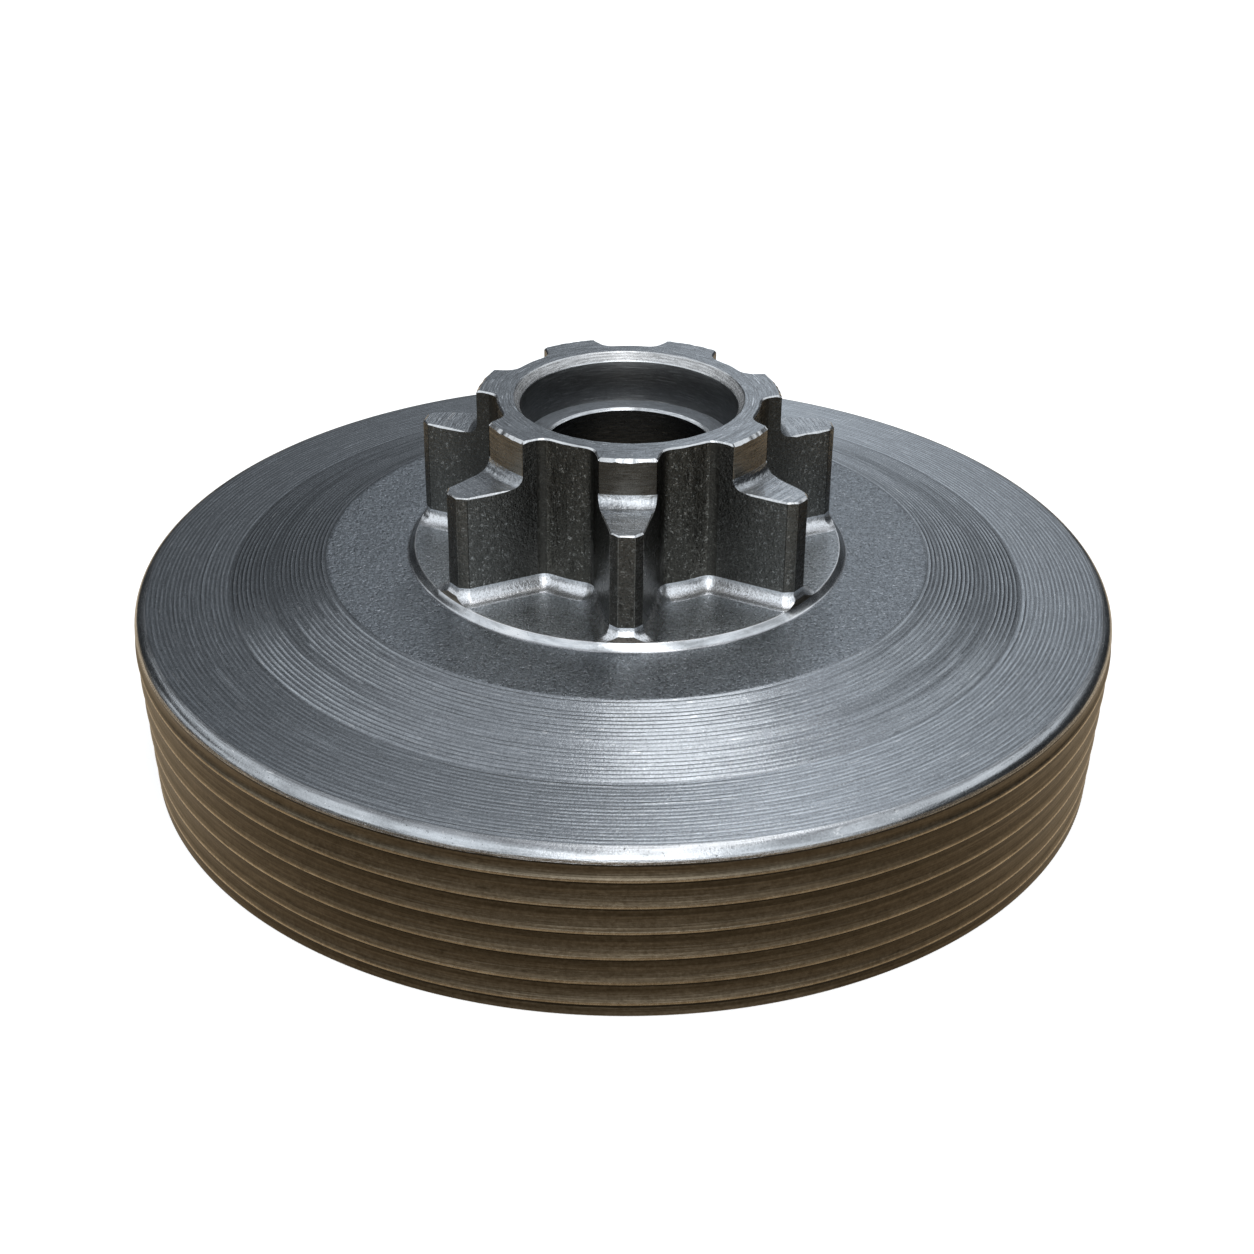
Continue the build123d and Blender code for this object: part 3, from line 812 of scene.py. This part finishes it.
MATS = {
    "cone": turned("steel_cone_turned", (0.53, 0.56, 0.59), (0.33, 0.35, 0.37), 0.22, 0.000018, 0.7, 0.5,
                   rings=(CONE_IN, (CONE_OUT - CONE_IN) / 22, 0.34, 0.47, 0.42), spots=0.5),
    "outer": turned("steel_face_turned", (0.515, 0.545, 0.575), (0.325, 0.345, 0.365), 0.22, 0.000018, 0.7, 0.5,
                    rings=(CONE_OUT, 0.345, 0.34, 0.47, 0.70), spots=0.5),
    "round": turned("steel_edge_turned", (0.69, 0.71, 0.73), (0.36, 0.37, 0.38), 0.22, 0.00004, 0.6, 0.4, grainy=0.45, spots=0.8),
    "lip": turned("steel_edge_nicked", (0.52, 0.51, 0.50), (0.17, 0.165, 0.16), 0.26, 0.00006, 0.9, 0.2, grainy=0.8, spots=1.0),
    # painted shade: the near-black line at the foot of the top edge rounding
    "dark": turned("steel_edge_painted_shade_line", (0.055, 0.050, 0.045), (0.03, 0.027, 0.024), 0.35, 0.00003, 0.3, 0.0, grainy=0.5),
    "forged": forged("steel_forged_face", (0.355, 0.383, 0.413), (0.19, 0.205, 0.22), (0.80, 0.83, 0.86), 0.7, 0.30, 0.00010, 0.65, 1.15),
    "island": forged("steel_forged_island", (0.50, 0.53, 0.555), (0.28, 0.295, 0.308), (0.92, 0.95, 0.98), 0.7, 0.30, 0.00010, 0.65, 1.15),
    # the flank steel darkens towards the root: painted shade
    "flank": forged("steel_forged_flank", (0.152, 0.150, 0.138), (0.108, 0.106, 0.096), (0.60, 0.60, 0.57), 1.0, 0.26, 0.00009, 0.8,
                    1.3, 0.10, (11.2, 14.6, 0.75), 0.45),
    # painted shade: a darker copy of the flank steel for the front tooth's flanks
    "flank_front": forged("steel_forged_flank_front_painted_shade", (0.062, 0.061, 0.057), (0.046, 0.045, 0.041), (0.42, 0.42, 0.40), 0.8, 0.30,
                          0.00008, 0.4, 1.2, 0.12, None, 0.6),
    # painted shade: darker copies of the flank steel in the nook and root by the valley floor
    "nook": forged("steel_forged_nook_painted_shade", (0.058, 0.056, 0.049), (0.042, 0.040, 0.035), (0.25, 0.25, 0.22), 0.6, 0.32, 0.00008, 0.3,
                   1.2, 0.3, None, 0.6),
    "root": forged("steel_forged_root_painted_shade", (0.090, 0.086, 0.074), (0.063, 0.060, 0.051), (0.48, 0.47, 0.43), 1.0, 0.26, 0.00011, 0.7,
                   1.2, 0.6, None, 0.4),
    # the tip corner of every tooth and the front tooth's flank corner: a lighter copy of the steel, wear with a painted
    # highlight
    "wear": turned("steel_worn_corner_and_highlight", (0.24, 0.232, 0.21), (0.08, 0.077, 0.068), 0.30, 0.00006, 0.7, 0.0, spots=0.8),
    # painted shade: the same flank corner on the other teeth, a near-black copy
    "seam": turned("steel_corner_painted_shade", (0.050, 0.048, 0.043), (0.028, 0.027, 0.024), 0.34, 0.00006, 0.5, 0.0),
    # painted shade: the tooth tips, and the front tooth's corner facets, take a darker copy of the flank steel; the
    # other teeth's corner facets take the lighter copy below
    "tip": forged("steel_forged_tip", (0.086, 0.080, 0.069), (0.058, 0.054, 0.046), (0.42, 0.41, 0.38), 0.9, 0.28, 0.00010, 0.4, 1.1,
                  0.5, None, 0.5),
    "facet": forged("steel_forged_corner", (0.118, 0.113, 0.100), (0.088, 0.084, 0.073), (0.50, 0.49, 0.46), 0.8, 0.28, 0.00009, 0.4,
                    1.2, 0.3, None, 0.6),
    # painted shade: the front tooth's cut is a darker copy of the cut steel
    "cut": turned("steel_cut_foot_painted_shade", (0.085, 0.078, 0.070), (0.045, 0.041, 0.036), 0.30, 0.00004, 0.4, 0.3),
    "cut_side": turned("steel_cut_side", (0.22, 0.195, 0.160), (0.11, 0.097, 0.080), 0.30, 0.00004, 0.4, 0.3, grainy=0.4),
    # painted highlight: the foot fillets are near white where they catch the light
    "foot": forged("steel_foot_painted_highlight", (0.93, 0.94, 0.96), (0.68, 0.685, 0.695), (1.0, 1.0, 1.0), 0.3, 0.24, 0.00003, 0.3, 1.2, 0.0,
                   None, 0.8),
    # painted shade: the front tooth's foot takes graded darker copies, each running out into the island's tone below
    "foot_soft": forged("steel_foot_soft_painted_light", (0.55, 0.555, 0.56), (0.36, 0.365, 0.37), (0.95, 0.95, 0.95), 0.3, 0.26, 0.00004, 0.3,
                        1.2, 0.0, None, 0.7, ((0.45, 0.47, 0.49), ISL_Z + 0.5)),
    "foot_mid": forged("steel_foot_half_painted_shade", (0.23, 0.232, 0.235), (0.15, 0.152, 0.155), (0.8, 0.8, 0.8), 0.3, 0.28, 0.00005, 0.3,
                       1.2, 0.0, None, 0.7, ((0.42, 0.44, 0.46), ISL_Z + 0.5)),
    "foot_dark": forged("steel_foot_dark_painted_shade", (0.095, 0.095, 0.092), (0.062, 0.062, 0.060), (0.60, 0.60, 0.58), 0.4, 0.28,
                        0.00006, 0.3, 1.1, 0.2, None, 0.6, ((0.40, 0.42, 0.44), ISL_Z + 0.45)),
    "rim_isl": turned("steel_island_edge", (0.80, 0.82, 0.84), (0.46, 0.47, 0.48), 0.22, 0.00002, 0.4, 0.3, grainy=0.15, spots=0.4),
    "rim_foot": turned("steel_island_foot", (0.56, 0.58, 0.61), (0.32, 0.33, 0.35), 0.26, 0.00003, 0.4, 0.2, grainy=0.5, spots=0.4),
    "lug": turned("steel_lug_turned", (0.27, 0.240, 0.195), (0.15, 0.132, 0.106), 0.28, 0.00003, 0.4, 0.3, grainy=0.4),
    # painted shade: a darker copy of the lug steel for the front tooth's lug face
    "lug_front": turned("steel_lug_front_painted_shade", (0.100, 0.094, 0.083), (0.060, 0.056, 0.049), 0.28, 0.00003, 0.4, 0.3, grainy=0.4,
                        spots=0.4),
    "sweep": turned("steel_ledge_swept", (0.56, 0.58, 0.60), (0.28, 0.29, 0.30), 0.22, 0.00005, 0.4, 0.3,
                    tool=((1.0, 0.55, 1.3), 3.6, 0.9), grainy=0.5),
    "ledge": turned("steel_ledge_turned", (0.62, 0.65, 0.68), (0.36, 0.38, 0.40), 0.24, 0.00004, 0.5, 0.4,
                    tool=((1.0, 0.55, 1.3), 3.6, 0.5), grainy=0.5, arcs=0.8),
    "top": turned("steel_top_turned", (0.45, 0.475, 0.50), (0.27, 0.285, 0.30), 0.22, 0.00003, 0.6, 0.4, grainy=0.5, arcs=1.0,
                  spots=0.6),
    # burnish and painted highlight: the bright edges, near white; burrs and inner edges take it too
    "edge": turned("steel_burnished_edge_and_highlight", (0.93, 0.94, 0.95), (0.62, 0.62, 0.62), 0.22, 0.00003, 0.4, 0.2, grainy=0.45),
    "mouth": turned("steel_mouth_turned", (0.72, 0.72, 0.72), (0.38, 0.375, 0.37), 0.28, 0.00005, 0.6, 0.2, grainy=0.35, spots=0.8,
                    rings=(COUNT_R, 0.13, 0.30, 0.44, 0.55), metallic=0.6),
    "bore": turned("steel_bore", (0.165, 0.168, 0.168), (0.13, 0.132, 0.132), 0.40, 0.00003, 0.2, 0.3, grainy=0.1, arcs=0.25, spots=0.25),
    "deep": turned("steel_bearing_bore", (0.134, 0.144, 0.156), (0.102, 0.110, 0.119), 0.30, 0.00003, 0.2, 0.3, grainy=0.05, arcs=0.5,
                   spots=0.3),
    "shelf": turned("steel_shelf", (0.37, 0.395, 0.425), (0.22, 0.235, 0.253), 0.32, 0.00003, 0.5, 0.2, grainy=0.5, metallic=0.4,
                    spots=0.5),
    "wall": wall_skin("steel_wall_brown", (0.160, 0.130, 0.090), (0.098, 0.077, 0.051), (0.24, 0.198, 0.142)),
    "shade": wall_skin("steel_wall_shade", (0.112, 0.090, 0.060), (0.068, 0.053, 0.034), (0.17, 0.14, 0.098)),
    # painted highlight: flare, glint and crest are lighter copies of the wall's brown
    "flare": wall_skin("steel_wall_flare_painted_light", (0.235, 0.194, 0.138), (0.145, 0.117, 0.080), (0.35, 0.295, 0.215)),
    "glint": wall_skin("steel_wall_glint", (0.36, 0.30, 0.22), (0.21, 0.172, 0.122), (0.52, 0.445, 0.335), 0.30),
    # painted shade: a near-black copy in the step under each crest
    "under": wall_skin("steel_wall_painted_shade_under_crest", (0.030, 0.024, 0.016), (0.018, 0.014, 0.010), (0.05, 0.04, 0.029)),
    "crest": wall_skin("steel_wall_crest_painted_highlight", (0.60, 0.51, 0.385), (0.32, 0.27, 0.20), (0.86, 0.76, 0.60), 0.26),
    "inside": turned("steel_inside_turned", (0.42, 0.42, 0.42), (0.24, 0.235, 0.23), 0.32, 0.00006, 0.45, 0.3, grainy=0.5),
}
USE = {
    "burr": "edge", "edge_in": "edge", "shelf_edge": "rim_isl", "rim": "inside", "friction": "inside", "web": "inside",
    "bore": "deep", "count": "bore",
}
names = list(MATS)
for key in names:
    mesh.materials.append(MATS[key])
got = np.zeros(len(mesh.polygons), np.int32)
mesh.attributes["kind"].data.foreach_get("value", got)
mesh.polygons.foreach_set("material_index", np.array([names.index(USE.get(FINISHES[k], FINISHES[k])) for k in got], np.int32))

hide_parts("drum_sprocket")
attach(drum, "root")

# ---------------------------------------------------------------------------
# floor, light and camera
# ---------------------------------------------------------------------------
fm = bmesh.new()
bmesh.ops.create_grid(fm, x_segments=8, y_segments=8, size=1.6)
floor_mesh = bpy.data.meshes.new("floor")
fm.to_mesh(floor_mesh)
fm.free()
floor = bpy.data.objects.new("floor", floor_mesh)
floor.location = (0, 0, -0.00002)
bpy.context.scene.collection.objects.link(floor)
f = bpy.data.materials.new("pale_floor")
f.use_nodes = True
b = f.node_tree.nodes["Principled BSDF"]
b.inputs["Base Color"].default_value = (0.90, 0.90, 0.90, 1)
b.inputs["Roughness"].default_value = 0.9
b.inputs["Specular IOR Level"].default_value = 0.1
b.inputs["Emission Color"].default_value = (1, 1, 1, 1)
b.inputs["Emission Strength"].default_value = 0.62
floor_mesh.materials.append(f)
floor.visible_glossy = False      # the polished steel is lit by the boxes and the room, not by the sheet it stands on


def softbox(name, centre, aim, size_x, size_y, radiance, colour=(1, 1, 1)):
    data = bpy.data.lights.new(name, "AREA")
    data.shape = "RECTANGLE"
    data.size, data.size_y = size_x, size_y
    data.energy = radiance * math.pi * size_x * size_y
    data.color = colour
    ob = bpy.data.objects.new(name, data)
    ob.location = centre
    ob.rotation_euler = (Vector(aim) - Vector(centre)).to_track_quat("-Z", "Y").to_euler()
    bpy.context.scene.collection.objects.link(ob)
    return ob


softbox("top_box", (0.062, 0.0, 0.56), (0.062, 0.0, 0), 0.17, 0.80, 1.18)
softbox("front_box", (0.030, -0.60, 0.33), (0.0, 0, 0.02), 0.34, 0.62, 1.15)

world = bpy.data.worlds.new("studio")
bpy.context.scene.world = world
world.use_nodes = True
wt = world.node_tree
bg = wt.nodes["Background"]
tc = wt.nodes.new("ShaderNodeTexCoord")
sp = wt.nodes.new("ShaderNodeSeparateXYZ")
wt.links.new(tc.outputs["Generated"], sp.inputs[0])


def wnode(kind, **props):
    n = wt.nodes.new(kind)
    for k, v in props.items():
        setattr(n, k, v)
    return n


def wrange(source, lo, hi):
    n = wnode("ShaderNodeMapRange", interpolation_type="SMOOTHSTEP")
    wt.links.new(source, n.inputs[0])
    n.inputs[1].default_value, n.inputs[2].default_value = lo, hi
    return n.outputs[0]


def wmix(fac, a, b):
    n = wnode("ShaderNodeMix", data_type="RGBA")
    wt.links.new(fac, n.inputs[0])
    for i, v in ((6, a), (7, b)):
        if isinstance(v, tuple):
            n.inputs[i].default_value = (*v, 1)
        else:
            wt.links.new(v, n.inputs[i])
    return n.outputs[2]


half_x = wnode("ShaderNodeMapRange")
half_x.inputs[1].default_value, half_x.inputs[2].default_value = -1.0, 1.0
wt.links.new(sp.outputs[0], half_x.inputs[0])
side = wnode("ShaderNodeValToRGB")
el = side.color_ramp.elements
for x, level in ((-0.80, 0.05), (-0.50, 0.06), (-0.42, 0.08), (-0.35, 0.11), (-0.28, 0.14), (-0.21, 0.16), (-0.15, 0.22),
                 (-0.11, 0.26), (-0.03, 0.29), (0.0, 0.36), (0.03, 0.92), (0.10, 0.92), (0.15, 0.64), (0.20, 0.48), (0.25, 0.44),
                 (0.29, 0.36), (0.35, 0.24), (0.42, 0.13), (0.55, 0.09), (0.85, 0.06)):
    e = el.new((x + 1) / 2)
    e.color = (0.94 * level, level, 1.07 * level, 1)
el.remove(el[0])
el.remove(el[len(el) - 1])
wt.links.new(half_x.outputs[0], side.inputs[0])
ab = wnode("ShaderNodeMath", operation="ABSOLUTE")
wt.links.new(sp.outputs[0], ab.inputs[0])
# the room below the horizon is brown, lighter to the sides than in front
ground = wmix(wrange(sp.outputs[1], -0.60, 0.70), (0.262, 0.212, 0.150), (0.60, 0.492, 0.357))
low = wmix(wrange(ab.outputs[0], 0.74, 0.88), ground, (0.075, 0.068, 0.06))
low = wmix(wrange(sp.outputs[2], -0.36, -0.22), ground, low)
dim = wnode("ShaderNodeMix", data_type="RGBA", blend_type="MULTIPLY")
dim.inputs[0].default_value = 1.0
wt.links.new(side.outputs[0], dim.inputs[6])
lift = wmix(wrange(sp.outputs[2], 0.08, 0.44), (0.45, 0.46, 0.47), (1.0, 1.0, 1.0))
wt.links.new(lift, dim.inputs[7])
high = wmix(wrange(sp.outputs[2], 0.64, 0.82), dim.outputs[2], (0.44, 0.46, 0.49))


def wtimes(a, b):
    n = wnode("ShaderNodeMath", operation="MULTIPLY")
    wt.links.new(a, n.inputs[0])
    wt.links.new(b, n.inputs[1])
    return n.outputs[0]


# pale screens stand at both sides
flanking = wtimes(wrange(ab.outputs[0], 0.40, 0.60), wrange(sp.outputs[2], 0.42, 0.56))
high = wmix(flanking, high, (0.74, 0.78, 0.82))
beside = wtimes(wrange(sp.outputs[2], 0.12, 0.26), wrange(sp.outputs[1], 0.14, 0.0))
beside = wtimes(beside, wrange(sp.outputs[0], 0.90, 0.78))
high = wmix(wtimes(beside, wrange(ab.outputs[0], 0.45, 0.62)), high, (0.74, 0.78, 0.82))
level = wtimes(wrange(ab.outputs[0], 0.84, 0.94), wtimes(wrange(sp.outputs[2], 0.30, 0.16), wrange(sp.outputs[2], -0.08, 0.03)))
level = wtimes(level, wrange(sp.outputs[0], 0.10, -0.10))
high = wmix(level, high, (0.72, 0.76, 0.80))
sky = wmix(wrange(sp.outputs[2], -0.22, -0.08), low, high)

# a broad white screen stands in front, from just above the bench up
glow = wtimes(wtimes(wrange(sp.outputs[1], -0.02, -0.35), wrange(sp.outputs[2], -0.20, -0.05)),
              wtimes(wrange(sp.outputs[2], 0.96, 0.85), wrange(ab.outputs[0], 0.92, 0.50)))
sky = wmix(glow, sky, (0.80, 0.85, 0.90))
# beyond the sheet, the wall of the studio is as pale as the sheet
seen = wnode("ShaderNodeLightPath")
sky = wmix(seen.outputs["Is Camera Ray"], sky, (1.0, 1.0, 1.0))
wt.links.new(sky, bg.inputs[0])
bg.inputs[1].default_value = 1.0

# camera: pinhole with a shifted centre, from the fit to the photograph
F_PX, DIST, EL, ROLL = 2071.367, 163.235, math.radians(27.829), math.radians(1.584)
PPX, PPY, TX, TZ, PHI = 694.42, 559.593, 5.262, 14.693, math.radians(1.842)
fwd = np.array([0, math.cos(EL), -math.sin(EL)])
right = np.array([1.0, 0, 0])
up = np.array([0, math.sin(EL), math.cos(EL)])
R = right * math.cos(ROLL) + up * math.sin(ROLL)
U = -right * math.sin(ROLL) + up * math.cos(ROLL)
pos = np.array([TX, 0, TZ]) - fwd * DIST
turn = np.array([[math.cos(-PHI), -math.sin(-PHI), 0], [math.sin(-PHI), math.cos(-PHI), 0], [0, 0, 1]])
R, U, fwd, pos = turn @ R, turn @ U, turn @ fwd, turn @ pos
cam_data = bpy.data.cameras.new("camera")
cam_data.sensor_width = 36.0
cam_data.lens = F_PX / 1254 * 36.0
cam_data.shift_x = (627 - PPX) / 1254
cam_data.shift_y = (PPY - 627) / 1254
cam_data.clip_start = 0.005
cam = bpy.data.objects.new("camera", cam_data)
mat = Matrix.Identity(4)
for i in range(3):
    mat[i][0], mat[i][1], mat[i][2], mat[i][3] = R[i], U[i], -fwd[i], pos[i] * MM
cam.matrix_world = mat
bpy.context.scene.collection.objects.link(cam)
bpy.context.scene.camera = cam

view = bpy.context.scene.view_settings
view.view_transform = "Standard"
view.look = "None"
view.exposure = 0.0
view.gamma = 1.0
